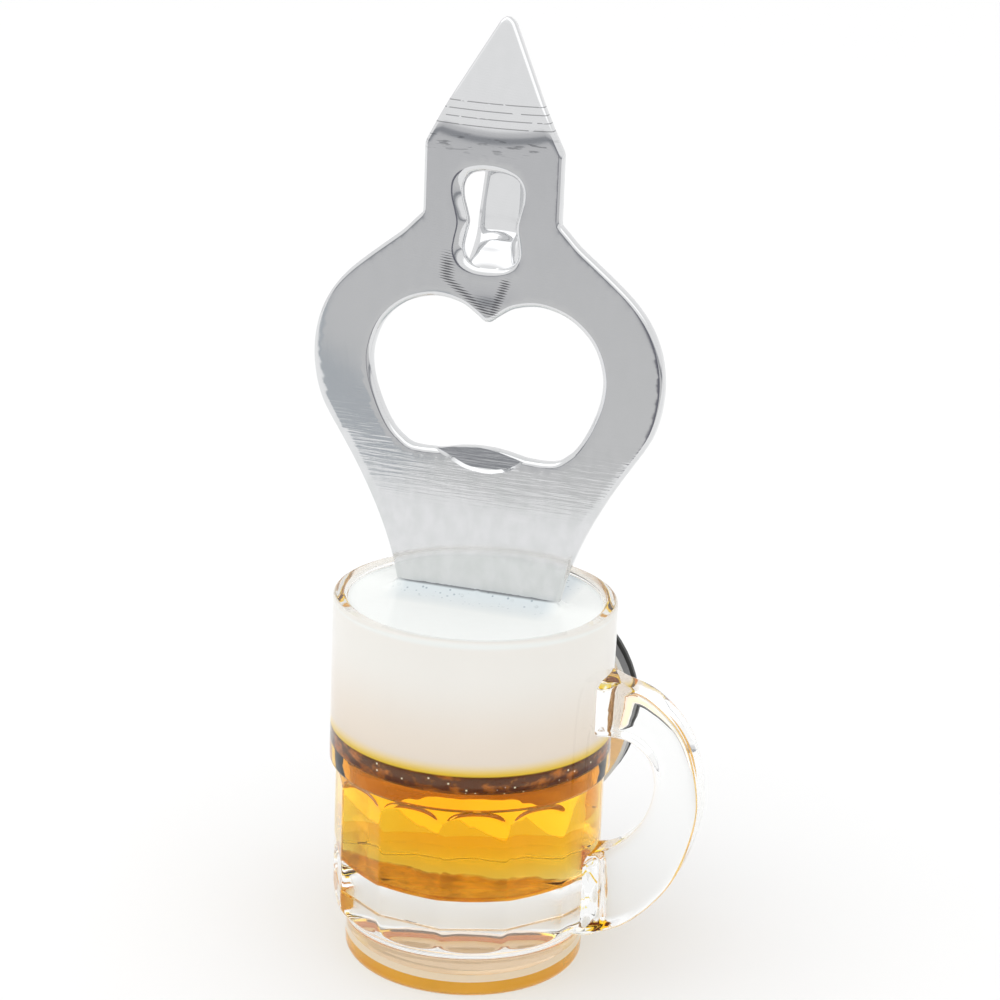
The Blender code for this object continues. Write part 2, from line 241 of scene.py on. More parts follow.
# ------------------------------------------------------------------ mesh helpers
def new_object(name, verts, faces, materials, sharp, face_slots=None):
    """Makes an object from points in millimetres about the mug's axis."""
    mesh = bpy.data.meshes.new(name)
    mesh.from_pydata([Vector(v) * MM + AXIS for v in verts], [], faces)
    for material in materials:
        mesh.materials.append(material)
    if face_slots is not None:
        mesh.polygons.foreach_set("material_index", face_slots)
    mesh.update()
    item = bpy.data.objects.new(name, mesh)
    bpy.context.scene.collection.objects.link(item)
    shade(item, sharp)
    return item


def add_piece(name, verts, faces, materials, slot, replaced, sharp, face_slots=None):
    """Makes a piece of the visual model, without any points that no face uses."""
    used = sorted({v for face in faces for v in face})
    place = {old: new for new, old in enumerate(used)}
    piece = new_object(name, [verts[v] for v in used], [[place[v] for v in face] for face in faces],
                       materials, sharp, face_slots)
    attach(piece, "root")
    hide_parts(replaced)
    return piece


def shade(piece, sharp):
    """Smooth shading, apart from edges sharper than an angle in degrees."""
    piece.data.shade_smooth()
    piece.data.set_sharp_from_angle(angle=math.radians(sharp))


def arc(cx, cz, radius, start, end, count):
    """Points of an arc between two angles in degrees, ends included."""
    points = []
    for step in range(count + 1):
        angle = math.radians(start + (end - start) * step / count)
        points.append((cx + radius * math.cos(angle), cz + radius * math.sin(angle)))
    return points


def spline(points, count, closed=False):
    """Points of a Catmull-Rom curve through the given points, count to each span."""
    total = len(points)
    result = []
    spans = total if closed else total - 1
    for i in range(spans):
        if closed:
            p0, p1, p2, p3 = (points[(i + k) % total] for k in (-1, 0, 1, 2))
        else:
            p0, p1 = points[max(i - 1, 0)], points[i]
            p2, p3 = points[i + 1], points[min(i + 2, total - 1)]
        for step in range(count):
            t = step / count
            result.append(tuple(
                0.5 * (2 * b + (c - a) * t + (2 * a - 5 * b + 4 * c - d) * t * t
                       + (3 * b - a - 3 * c + d) * t ** 3)
                for a, b, c, d in zip(p0, p1, p2, p3)))
    if not closed:
        result.append(tuple(points[-1]))
    return result


# ------------------------------------------------------------------ clear mug
HEEL_CURVE = np.array(spline(HEEL_STEPS, 8))


def crease(z):
    """The fine groove of the mould's parting line."""
    return CREASE_DEPTH * max(1.0 - abs(z - CREASE_HEIGHT) / CREASE_WIDTH, 0.0)


def body_profile(z):
    """Outer radius of the mug before the flutes are cut."""
    if z >= SHOULDER_HEIGHT:
        return RIM_RADIUS
    if z >= FLUTE_TOP:
        t = (SHOULDER_HEIGHT - z) / (SHOULDER_HEIGHT - FLUTE_TOP)
        return RIM_RADIUS - (RIM_RADIUS - BODY_RADIUS) * t * t
    if z >= HEEL_HEIGHT:
        return BODY_RADIUS - crease(z)
    return float(np.interp(z, HEEL_CURVE[:, 0], HEEL_CURVE[:, 1]))


def flute_radius(angle, z):
    """Distance of the flute's surface from the axis, or None on the plain band."""
    turn = angle % (2 * math.pi)
    if turn < FLUTE_START or turn > 2 * math.pi - FLUTE_START:
        return None
    phi = (turn - FLUTE_START) % FLUTE_PITCH - FLUTE_PITCH / 2
    share = phi / (FLUTE_PITCH / 2)
    flat = BODY_RADIUS * math.cos(FLUTE_PITCH / 2) - crease(z)
    run_out = max(z - (FLUTE_TOP - FLUTE_RUN_OUT - FLUTE_ARCH * abs(share) ** 3), 0.0)
    flat += 1.0 - math.sqrt(max(1.0 - run_out * run_out, 0.0))
    return flat / math.cos(phi) - FLUTE_BOW * (1 - share * share)


def outer_radius(angle, z):
    body = body_profile(z)
    if z > FLUTE_TOP + 0.5 or z < FLUTE_BOTTOM:
        return body
    flute = flute_radius(angle, z)
    if flute is None:
        return body
    blend = max(FLUTE_SOFT - abs(body - flute), 0.0) ** 2 / (4 * FLUTE_SOFT)
    return min(body, flute) - blend


def cavity_radius(height):
    top = RIM_RADIUS - RIM_WALL
    share = (height - CAVITY_FLOOR) / (RIM_HEIGHT - CAVITY_FLOOR)
    return CAVITY_FLOOR_RADIUS + (top - CAVITY_FLOOR_RADIUS) * share


def floor_corner(inset):
    """The rounded corner between the cavity's floor and wall, drawn inset."""
    return arc(CAVITY_FLOOR_RADIUS - CAVITY_ROUND, CAVITY_FLOOR + CAVITY_ROUND,
               CAVITY_ROUND - inset, -90, 0, 8)


def ring_angles():
    """Angles round the mug, with points on every ridge."""
    angles = [-FLUTE_START + 2 * FLUTE_START * step / FLUTE_STEPS for step in range(FLUTE_STEPS)]
    for flute in range(FLUTES):
        for step in range(FLUTE_STEPS):
            angles.append(FLUTE_START + FLUTE_PITCH * (flute + step / FLUTE_STEPS))
    return angles


def even_angles(count):
    return [2 * math.pi * k / count for k in range(count)]


def skin(rings):
    """Quads between rings of points, each ring a list of (x, y, z), and a fan over each end."""
    verts, faces = [], []
    count = len(rings[0])
    for ring in rings:
        verts += ring
    for row in range(len(rings) - 1):
        for col in range(count):
            nxt = (col + 1) % count
            a, b = row * count + col, row * count + nxt
            faces.append((a, b, b + count, a + count))
    for row, flip in ((0, True), (len(rings) - 1, False)):
        verts.append(tuple(np.mean(np.array(rings[row]), axis=0)))
        hub = len(verts) - 1
        for col in range(count):
            a, b = row * count + col, row * count + (col + 1) % count
            faces.append((b, a, hub) if flip else (a, b, hub))
    return verts, faces


def handle_mesh():
    """The D-shaped handle as a swept, rounded bar whose ends flare into the mug's wall."""
    hub = HANDLE_HUB
    outer = spline([(15.2, 43.2), (17.4, 43.2), (20.6, 42.9), (25.6, 41.2), (30.2, 36.6), (32.4, 29.6),
                    (32.2, 23.4), (29.4, 15.4), (24.6, 9.5), (20.2, 6.8), (17.0, 6.1), (14.6, 6.0)], 16)
    inner = spline([(15.2, 35.3), (17.4, 35.3), (20.4, 35.2), (23.4, 34.6), (25.7, 32.4), (26.4, 28.4),
                    (25.0, 23.8), (22.2, 20.3), (19.2, 18.5), (17.0, 17.7), (14.6, 17.2)], 16)
    turns = np.radians(np.linspace(90.0, -97.0, 120))

    def reach(curve):
        points = np.array(curve) - hub
        angle = np.arctan2(points[:, 1], points[:, 0])
        order = np.argsort(angle)
        return np.interp(turns, angle[order], np.hypot(*points.T)[order])

    rings = []
    edge = HANDLE_EDGE
    for turn, far, near in zip(turns, reach(outer), reach(inner)):
        wide = (math.cos(turn), math.sin(turn))
        middle, half_wide = (far + near) / 2, (far - near) / 2
        ring = []
        for sx, sy, start in ((1, 1, 0), (-1, 1, 90), (-1, -1, 180), (1, -1, 270)):
            for step in range(9):
                angle = math.radians(start + 90 * step / 8)
                across = middle + sx * (half_wide - edge) + edge * math.cos(angle)
                deep = sy * (HANDLE_HALF_DEPTH - edge) + edge * math.sin(angle)
                x, z = hub[0] + wide[0] * across, hub[1] + wide[1] * across
                out = max(math.hypot(x, deep) - (RIM_RADIUS if z > 26 else HANDLE_SEAT), 0.0)
                flare = 1 + HANDLE_FLARE * math.exp(-(out / HANDLE_FLARE_REACH) ** 2)
                ring.append((x, deep * flare, z))
        rings.append(ring)
    return skin(rings)


# places in the mug's list of looks
CLEAR, CONTACT, RECESS, FOOT_RING, WET = range(5)


def make_mug(looks):
    """The mug's whole skin, from the recess under it, up the outside and down to the cavity floor."""
    angles = ring_angles()
    rings = []

    def flat_ring(radius, z):
        rings.append([(radius * math.cos(a), radius * math.sin(a), z) for a in angles])

    def wall_ring(z):
        reach = [outer_radius(a, z) for a in angles]
        rings.append([(r * math.cos(a), r * math.sin(a), z) for r, a in zip(reach, angles)])

    flat_ring(2.0, RECESS_DEPTH)
    flat_ring(8.0, RECESS_DEPTH)
    recess_end = len(rings)
    for r, z in arc(RECESS_RADIUS - 1.4, RECESS_DEPTH - 0.8, 0.8, 90, 0, 5):
        flat_ring(r, z)
    corner_end = len(rings) - 1
    for r, z in arc(RECESS_RADIUS + 0.3, 0.4, 0.4, 180, 270, 4):
        flat_ring(r, z)
    foot_end = len(rings) + 2
    for r, z in arc(FOOT_RADIUS - FOOT_ROUND, FOOT_ROUND, FOOT_ROUND, -90, 0, 14):
        flat_ring(r, z)
    levels = [3.0, 3.6, 4.2, 4.6] + list(np.arange(5.0, HEEL_HEIGHT + 0.6, 0.1)) + [9.4, 10.2]
    levels += [CREASE_HEIGHT + CREASE_WIDTH * k / 2 for k in range(-2, 3)]
    levels += [12.0, 15.0, 18.0, 21.0, 23.5, 24.6] + list(np.arange(25.2, SHOULDER_HEIGHT + 0.05, 0.1))
    levels += [30.0, 32.0, 36.0, 40.0, 44.0, 48.0, 50.0]
    for z in levels:
        wall_ring(z)
    for r, z in arc(RIM_RADIUS - RIM_ROUND, RIM_HEIGHT - RIM_ROUND, RIM_ROUND, 0, 90, 7):
        flat_ring(r, z)
    inner = RIM_RADIUS - RIM_WALL
    for r, z in arc(inner + RIM_ROUND, RIM_HEIGHT - RIM_ROUND, RIM_ROUND, 90, 180, 7):
        flat_ring(r, z)
    contact_from = len(rings) - 1
    for z in (FOAM_TOP, 48.0, 44.0, 38.0, 33.0, 28.0, 22.0):
        flat_ring(cavity_radius(z), z)
    floor_from = len(rings) + 2
    for r, z in reversed(floor_corner(0.0)):
        flat_ring(r, z)
    flat_ring(8.0, CAVITY_FLOOR)
    flat_ring(2.0, CAVITY_FLOOR)
    verts, faces = skin(rings)
    slots = []
    for row in range(len(rings) - 1):
        if row > contact_from:
            slot = CONTACT if row >= floor_from else WET
        elif row < recess_end:
            slot = RECESS
        elif row < corner_end:
            slot = WET
        else:
            slot = FOOT_RING if row < foot_end else CLEAR
        slots += [slot] * len(angles)
    slots += [RECESS] * len(angles) + [CONTACT] * len(angles)
    mug = add_piece("clear_mug", verts, faces, looks, "clear_plastic", "mug_body", 25, slots)
    join(mug, new_object("handle_bar", *handle_mesh(), [looks[CLEAR]], 40), "UNION")
    shade(mug, 25)


def join(target, tool, operation):
    """Applies a Boolean and removes the tool."""
    modifier = target.modifiers.new("cut", "BOOLEAN")
    modifier.object = tool
    modifier.operation = operation
    modifier.solver = "EXACT"
    depsgraph = bpy.context.evaluated_depsgraph_get()
    result = bpy.data.meshes.new_from_object(target.evaluated_get(depsgraph))
    target.modifiers.clear()
    old, name = target.data, target.data.name
    target.data = result
    bpy.data.meshes.remove(old)
    result.name = name
    bpy.data.objects.remove(tool, do_unlink=True)


# ------------------------------------------------------------------ castings
def cast_boundary(gap):
    """Where the head meets the beer, from the wall inward: a thin creep up the wall, then a step."""
    wall = cavity_radius(BEER_TOP + CREEP_HEIGHT) - CAST_GAP
    points = []
    for step in range(9):
        t = step / 8
        points.append((wall - 0.75 * t, BEER_TOP + CREEP_HEIGHT * (1 - t) ** 1.8 + gap))
    for inset, dip in ((1.0, 0.4), (1.15, 1.3), (1.35, 2.3), (1.8, 2.75), (2.8, HEAD_DIP)):
        points.append((wall - inset, BEER_TOP - dip + gap))
    points += [(10.0, BEER_TOP - HEAD_DIP + gap), (3.0, BEER_TOP - HEAD_DIP + gap)]
    return points


def make_beer(material):
    gap = CAST_GAP
    profile = [(2.0, CAVITY_FLOOR + gap), (9.0, CAVITY_FLOOR + gap)]
    profile += floor_corner(gap)
    profile += [(cavity_radius(z) - gap, z) for z in (18.0, 24.0, 30.0)]
    profile += cast_boundary(0.0)
    rings = [[(r * math.cos(a), r * math.sin(a), z) for a in even_angles(144)] for r, z in profile]
    add_piece("amber_beer", *skin(rings), [material], "amber_resin", "beer_fill", 40)


def make_foam(material):
    """White head: its underside dips into the beer, its top creeps up the blade."""
    gap = CAST_GAP
    profile = list(reversed(cast_boundary(gap)))
    profile += [(cavity_radius(z) - gap, z) for z in (36.0, 40.0, 44.0, 48.0, FOAM_TOP - 0.5)]
    top_edge = cavity_radius(FOAM_TOP) - gap
    profile += [(top_edge - 0.02, FOAM_TOP - 0.1), (top_edge - 0.15, FOAM_TOP - 0.22),
                (top_edge - 0.6, FOAM_TOP - 0.32)]
    for r in np.arange(top_edge - 1.0, 0.6, -0.25):
        profile.append((r, FOAM_TOP - 0.35))
    rings = []
    for r, z in profile:
        ring = []
        for a in even_angles(180):
            x, y = r * math.cos(a), r * math.sin(a)
            lift = 0.0
            if z > 50.0 and r < top_edge - 0.3:
                side = max(abs(x - BLADE_X) - 11.2, 0.0)
                front = max(0.8 - y, y - 2.4, 0.0)
                lift = HEAD_CREEP * math.exp(-math.hypot(side, front) / HEAD_CREEP_REACH)
            ring.append((x, y, z + lift))
        rings.append(ring)
    add_piece("white_foam", *skin(rings), [material], "white_resin", "foam_head", 50)


# ------------------------------------------------------------------ blade
BLADE_X = (blade_low.x + blade_high.x) / 2 / MM - AXIS.x / MM
BLADE_FRONT = blade_low.y / MM - AXIS.y / MM
BLADE_THICK = 1.6
BEND_START = 60.5
BEND_LENGTH = 6.0
BEND_SAG = 1.5
BEND_ANGLE = math.radians(16.5)
BACK_ROUND = 0.3
DISH_DEPTH = 0.16
TONGUE_THICK = 1.2
TONGUE_FOOT, TONGUE_TIP = 42.6, 56.2
TONGUE_HALF, TONGUE_TAPER = 3.35, 0.65
FILL_PITCH = 0.7                     # grid inside the flat faces, in rows set off by half a step
FILL_ROW = 0.866


def both_sides(half):
    """A closed outline from its right half, top to bottom."""
    return half + [(-x, z) for x, z in reversed(half) if x > 1e-6]


def rounded_loop(points, radius_of, count=6):
    """Rounds chosen corners: radius_of maps a point's index to its radius."""
    total = len(points)
    result = []
    for i, p in enumerate(points):
        radius = radius_of.get(i, 0.0)
        if not radius:
            result.append(p)
            continue
        p = Vector(p)
        before = (Vector(points[i - 1]) - p).normalized()
        after = (Vector(points[(i + 1) % total]) - p).normalized()
        half = math.acos(max(-1.0, min(1.0, before.dot(after)))) / 2
        trim = radius / math.tan(half)
        start, end = p + before * trim, p + after * trim
        for step in range(count + 1):
            t = step / count
            q = start * (1 - t) ** 2 + p * 2 * t * (1 - t) + end * t * t
            result.append((q.x, q.y))
    return result


def blade_outline():
    right = spline([(9.3, 50.6), (10.6, 49.3), (12.0, 47.9), (14.4, 46.0), (16.9, 44.0), (19.2, 42.0),
                    (21.0, 40.0), (22.3, 38.0), (23.2, 36.0), (23.75, 34.0), (24.05, 32.0), (24.1, 30.0),
                    (23.9, 28.0), (23.5, 26.0), (22.8, 24.0), (21.7, 22.0), (20.4, 20.0), (17.9, 16.0),
                    (15.7, 12.0), (13.85, 8.0), (12.4, 4.0), (11.4, 0.0), (10.2, -5.0), (8.6, -12.0)], 3)
    half = [(0.0, 76.6), (1.0, 75.6), (2.0, 73.7), (9.3, 59.7), (9.3, 56.0)] + right + [(7.0, -13.0)]
    loop = both_sides(half)
    total = len(loop)
    return rounded_loop(loop, {0: 0.9, 3: 0.9, total - 3: 0.9})


def cap_hole_outline():
    half = [(0.0, 36.9), (0.55, 37.0), (1.6, 37.8), (3.8, 39.1), (7.3, 39.6), (11.2, 38.4), (14.3, 35.6),
            (15.8, 31.8), (15.7, 28.2), (14.4, 24.4), (12.7, 21.4), (10.9, 19.75)]
    curve = spline([(-0.55, 37.0)] + half, 6)[6:]
    low = [(10.3, 19.4), (9.6, 19.2), (8.0, 19.1), (5.9, 19.2), (3.4, 19.75), (1.6, 20.0), (0.0, 20.05)]
    return both_sides(curve + low)


def window_outline():
    half = [(0.0, 56.45), (1.6, 56.4), (3.1, 55.9), (3.95, 54.7), (4.0, 53.0), (3.45, 51.0), (3.2, 49.6),
            (3.6, 47.6), (3.75, 46.2), (3.2, 44.9), (1.9, 44.2), (0.0, 44.1)]
    curve = spline([(-1.6, 56.4)] + half + [(-1.9, 44.2)], 6)[6:-6]
    return both_sides(curve)


def even_loop(points, step):
    """Walks a closed outline at even steps and keeps its shape."""
    pts = np.array(points + [points[0]])
    lengths = np.hypot(*np.diff(pts, axis=0).T)
    keep = np.concatenate([[True], lengths > 1e-6])
    pts = pts[keep]
    lengths = np.hypot(*np.diff(pts, axis=0).T)
    run = np.concatenate([[0.0], np.cumsum(lengths)])
    count = max(int(run[-1] / step), 12)
    at = np.linspace(0.0, run[-1], count, endpoint=False)
    return np.column_stack([np.interp(at, run, pts[:, 0]), np.interp(at, run, pts[:, 1])])


def inward(points):
    """Unit normals that point into the metal, which lies on the left of each loop."""
    ahead = np.roll(points, -1, axis=0) - np.roll(points, 1, axis=0)
    ahead /= np.hypot(*ahead.T)[:, None]
    return np.column_stack([-ahead[:, 1], ahead[:, 0]])


def loop_area(points):
    x, y = points[:, 0], points[:, 1]
    return float(np.sum(x * np.roll(y, -1) - np.roll(x, -1) * y)) / 2


def blade_bend(x, up, depth):
    """Maps flat-blank coordinates to the bent blade. Depth is backward from the mid-plane."""
    start = BEND_START + BEND_SAG * ((x / 9.0) ** 2 - 0.5)
    along = up - start
    if along <= 0.0:
        return x, depth, up
    radius = BEND_LENGTH / BEND_ANGLE
    angle = min(along, BEND_LENGTH) / radius
    beyond = max(along - BEND_LENGTH, 0.0)
    rise = radius * math.sin(angle) + beyond * math.cos(angle)
    back = radius * (1.0 - math.cos(angle)) + beyond * math.sin(angle)
    return x, back + depth * math.cos(angle), start + rise - depth * math.sin(angle)


def dish(x, up):
    """How far the front face is drawn back round the window's foot, in millimetres."""
    near = math.hypot(x / 5.2, (up - 42.0) / 4.4)
    return DISH_DEPTH * max(1.0 - near * near, 0.0) ** 2


def window_normals(points):
    """Directions for the window's rolled edge, which is broad on its left and narrow on its right."""
    away = np.column_stack([points[:, 0] / 3.3 ** 2, (points[:, 1] - 50.3) / 5.9 ** 2])
    away /= np.hypot(*away.T)[:, None]
    width = 1.0 - 0.45 * points[:, 0] / 4.0
    return away * width[:, None]


def make_blade(material, lens_material):
    """Stamped plate with a rolled front edge, built from its outlines and an inner grid."""
    loops = []
    window = window_outline()
    for outline, step, roll, is_outside in (
            (blade_outline(), 0.5, 0.5, True), (cap_hole_outline(), 0.4, 0.7, False),
            (window, 0.3, 1.1, False)):
        points = even_loop(outline, step)
        if (loop_area(points) > 0) != is_outside:
            points = points[::-1]
        loops.append((points, window_normals(points) if outline is window else inward(points), roll))
    verts, faces = [], []
    half = BLADE_THICK / 2
    rows = 7
    front_edges, back_edges = [], []
    for points, normals, roll in loops:
        start = len(verts)
        depth_roll = min(roll, 1.0)
        profile = []
        for k in range(rows):
            a = math.pi / 2 * k / (rows - 1)
            profile.append((roll * (1 - math.sin(a)), -half + depth_roll * (1 - math.cos(a))))
        for k in range(5):
            a = math.pi / 2 * k / 4
            profile.append((BACK_ROUND * (1 - math.cos(a)), half - BACK_ROUND * (1 - math.sin(a))))
        count = len(points)
        for inset, depth in profile:
            ring = points + normals * inset
            for x, up in ring:
                verts.append((x, up, depth))
        for row in range(len(profile) - 1):
            for col in range(count):
                nxt = (col + 1) % count
                a, b = start + row * count + col, start + row * count + nxt
                faces.append((a, b, b + count, a + count))
        front_edges.append((start, count))
        back_edges.append((start + (len(profile) - 1) * count, count))
    for edges, depth, flip in ((front_edges, -half, False), (back_edges, half, True)):
        fill_face(verts, faces, edges, depth, flip)
    placed = []
    for x, up, depth in verts:
        pull = dish(x, up) * (1.0 if depth < 0 else 0.0)
        bx, by, bz = blade_bend(x, up, depth + pull)
        placed.append((bx + BLADE_X, by + BLADE_FRONT + half, bz + RIM_HEIGHT))
    blade = add_piece("steel_blade", placed, faces, [material], "chrome", "opener_blade", 50)
    join(blade, new_object("tongue", *tongue_mesh(), [material], 40), "UNION")
    join(blade, new_object("lens", *lens_mesh(), [lens_material], 40), "DIFFERENCE")
    shade(blade, 40)


def tongue_mesh():
    """The lanced lug: a domed root at the window's foot, then a strip that runs up behind it."""
    path = spline([(0.25, TONGUE_FOOT), (0.3, 43.4), (0.8, 44.3), (1.9, 45.4), (3.0, 46.8), (3.55, 48.0),
                   (3.64, 49.0), (3.8, 50.5), (4.0, 51.6), (4.5, 54.0), (4.9, TONGUE_TIP)], 6)
    columns = 19
    rings = []
    for index, (depth, up) in enumerate(path):
        before, after = path[max(index - 1, 0)], path[min(index + 1, len(path) - 1)]
        along = Vector((after[0] - before[0], after[1] - before[1])).normalized()
        share = (up - TONGUE_FOOT) / (TONGUE_TIP - TONGUE_FOOT)
        half = TONGUE_HALF - TONGUE_TAPER * share
        if index == len(path) - 1:
            half -= 0.3
        domed = -0.9 * math.exp(-((up - 46.2) / 1.7) ** 2)
        front, back = [], []
        for col in range(columns):
            t = -1 + 2 * col / (columns - 1)
            bow = domed * (1 - t * t)
            edge = 0.35 * max(abs(t) - 0.8, 0.0) / 0.2
            for side, store in ((-1, front), (1, back)):
                off = side * (TONGUE_THICK / 2 - edge) + bow
                store.append((t * half + BLADE_X, depth + along.y * off + BLADE_FRONT + BLADE_THICK / 2,
                              up - along.x * off + RIM_HEIGHT))
        rings.append(front + back[::-1])
    return skin(rings)


def lens_mesh():
    """The cutter that leaves the cap lip as a shallow lens under the hole."""
    top = [(-6.9, 19.2), (-5.0, 19.5), (-2.4, 19.8), (-0.3, 19.95), (2.0, 19.75), (3.9, 19.35), (5.8, 18.85)]
    low = [(4.6, 17.8), (2.8, 17.05), (0.6, 16.7), (-2.2, 17.0), (-4.6, 18.1)]
    outline = spline(top, 5)[:-1] + spline([top[-1]] + low + [top[0]], 5)[:-1]
    total = len(outline)
    verts, faces = [], []
    for depth, inset in ((-1.2, 0.0), (-0.8, 0.0), (-0.4, 1.0)):
        for x, up in outline:
            squeeze = (0.40 if up < 18.9 - 0.03 * x else 0.0) * inset * max(1 - (x / 6.5) ** 2, 0.0)
            lean = 0.085 * (up + squeeze - 17.2) * inset
            verts.append((x * (1 - 0.06 * inset) + BLADE_X, depth + lean + BLADE_FRONT + BLADE_THICK / 2,
                          up + squeeze + RIM_HEIGHT))
    for row in range(2):
        for col in range(total):
            nxt = (col + 1) % total
            a, b = row * total + col, row * total + nxt
            faces.append((a, b, b + total, a + total))
    faces.append(tuple(reversed(range(total))))
    faces.append(tuple(range(2 * total, 3 * total)))
    return verts, faces


def fill_face(verts, faces, edges, depth, flip):
    """Fills the flat face between boundary loops with a fine even mesh."""
    coords, ids, constraints = [], [], []
    for start, count in edges:
        first = len(coords)
        for k in range(count):
            x, up, _ = verts[start + k]
            coords.append(Vector((x, up)))
            ids.append(start + k)
            constraints.append((first + k, first + (k + 1) % count))
    fixed = len(coords)
    ring = np.array([tuple(c) for c in coords])
    for j in range(int(92 / (FILL_PITCH * FILL_ROW))):
        up = -13.5 + j * FILL_PITCH * FILL_ROW
        for i in range(-36, 37):
            x = (i + 0.5 * (j % 2)) * FILL_PITCH
            if np.min(np.abs(ring[:, 0] - x) + np.abs(ring[:, 1] - up)) >= FILL_PITCH * 0.8:
                coords.append(Vector((x, up)))
    out_coords, _, out_faces, origins = delaunay_2d_cdt(coords, constraints, [], 0, 1e-7)[:4]
    loops = [ring[sum(c for _, c in edges[:k]):sum(c for _, c in edges[:k + 1])] for k in range(len(edges))]
    new_ids = []
    for index, coord in enumerate(out_coords):
        source = [o for o in origins[index] if o < fixed]
        if source:
            new_ids.append(ids[source[0]])
        else:
            verts.append((coord.x, coord.y, depth))
            new_ids.append(len(verts) - 1)
    centres = np.array([[sum(out_coords[v][k] for v in face) / 3 for k in (0, 1)] for face in out_faces])
    inside = within(loops[0], centres)
    for hole in loops[1:]:
        inside &= ~within(hole, centres)
    for keep, face in zip(inside, out_faces):
        if keep:
            tri = [new_ids[v] for v in face]
            faces.append(tuple(reversed(tri)) if not flip else tuple(tri))


def within(loop, points):
    """Which points lie inside a closed loop."""
    inside = np.zeros(len(points), bool)
    x, y = points[:, 0], points[:, 1]
    for (x0, y0), (x1, y1) in zip(loop, np.roll(loop, -1, axis=0)):
        crosses = (y0 > y) != (y1 > y)
        if y1 != y0:
            inside ^= crosses & (x < (x1 - x0) * (y - y0) / (y1 - y0) + x0)
    return inside


# ------------------------------------------------------------------ materials
WHITE = (1.0, 1.0, 1.0, 1.0)
PLASTIC_IOR = 1.52
# places on the blade, in metres, as all lengths in the materials are
BLADE_MIDDLE = BLADE_X * MM + AXIS.x
BLADE_FACE = BLADE_FRONT * MM + AXIS.y
FOOT_LEVEL = (RIM_HEIGHT + 41.2) * MM        # the window's foot
BEND_LEVEL = 0.11325                         # the lowest press line


def soft_rays(n):
    """Shadow and diffuse rays, and rays trapped by many inner reflections, pass straight through."""
    path = n.add("LightPath")
    trapped = n.above(path.outputs["Glossy Depth"], 1.5)
    return n.most(n.most(path.outputs["Is Shadow Ray"], path.outputs["Is Diffuse Ray"]), trapped)


def clear_look(name, tint):
    """Clear moulded plastic: it bends light, reflects weakly face on, and is a little wavy."""
    material, n = new_material(name)
    normal = n.bump(n.noise(n.scaled(), 160.0), 0.05, 0.001)
    glass = n.add("BsdfPrincipled", Base_Color=(*tint, 1.0), Roughness=0.0, IOR=PLASTIC_IOR, Normal=normal)
    n.put(glass, "Transmission Weight", 1.0)
    n.put(glass, "Specular Tint", (0.3, 0.3, 0.3, 1.0))
    n.surface(n.blend(soft_rays(n), glass, n.clear((0.98, 0.98, 0.975, 1.0))))
    return material


def contact_look():
    """The cavity's floor under the resin: it bends light in streaks and passes the rest in amber,
    deeper on its front half."""
    material, n = new_material("resin_contact_look")
    glass = n.add("BsdfGlass", Color=WHITE, Roughness=0.0, IOR=0.95)
    flow = n.noise(n.scaled(turn=(0.3, 0.2, 0.0)), 170.0, 4.0, 0.6)
    wander = n.noise(n.scaled(1.0, 0.3, 1.0), 260.0)
    edge = n.plus(n.part(n.position(), 1), n.times(n.minus(wander, 0.5), 0.006))
    # painted amber shade: deeper towards the front, standing in for the longer light path through the beer
    near = n.span(edge, AXIS.y - 0.0020, AXIS.y - 0.0004, 1.0, 0.0)
    through = n.clear(n.mix(near, (0.95, 0.80, 0.45, 1.0), (0.86, 0.41, 0.05, 1.0)))
    share = n.most(n.span(flow, 0.40, 0.60, 0.32, 0.75), n.span(near, 0.0, 0.5, 0.9, 0.0))
    n.surface(n.blend(soft_rays(n), n.blend(share, glass, through), n.clear(WHITE)))
    return material


def wet_look():
    """The mug's inner wall behind the resin, which bends light almost as the plastic does."""
    material, n = new_material("resin_wall_look")
    film = n.noise(n.scaled(1.0, 1.0, 0.3), 120.0)
    tint = n.mix(n.span(film, 0.3, 0.7), (0.985, 0.985, 0.985, 1.0), WHITE)
    glass = n.add("BsdfGlass", Color=tint, Roughness=0.0, IOR=1.004)
    n.surface(n.blend(soft_rays(n), glass, n.clear(WHITE)))
    return material


def underside_look(name, tint, clear_share):
    """The foot's underside and its recess: slightly clouded, they pass more light than they mirror, in a
    painted tint that stands in for the beer's amber light.
    """
    material, n = new_material(name)
    cloud = n.noise(n.scaled(), 140.0, 3.0)
    colour = n.mix(n.span(cloud, 0.3, 0.7), (*tint, 1.0), (*[min(c * 1.06, 1.0) for c in tint], 1.0))
    clear = n.clear(colour)
    glass = n.add("BsdfGlass", Color=colour, Roughness=0.02, IOR=PLASTIC_IOR)
    n.surface(n.blend(n.most(soft_rays(n), clear_share), glass, clear))
    return material


def beer_look():
    """Amber resin: no surface of its own, only an amber body."""
    material, n = new_material("amber_resin_look")
    n.surface(n.clear(WHITE))
    n.volume(n.add("VolumeAbsorption", Color=(0.991, 0.846, 0.0, 1.0), Density=145.0))
    return material


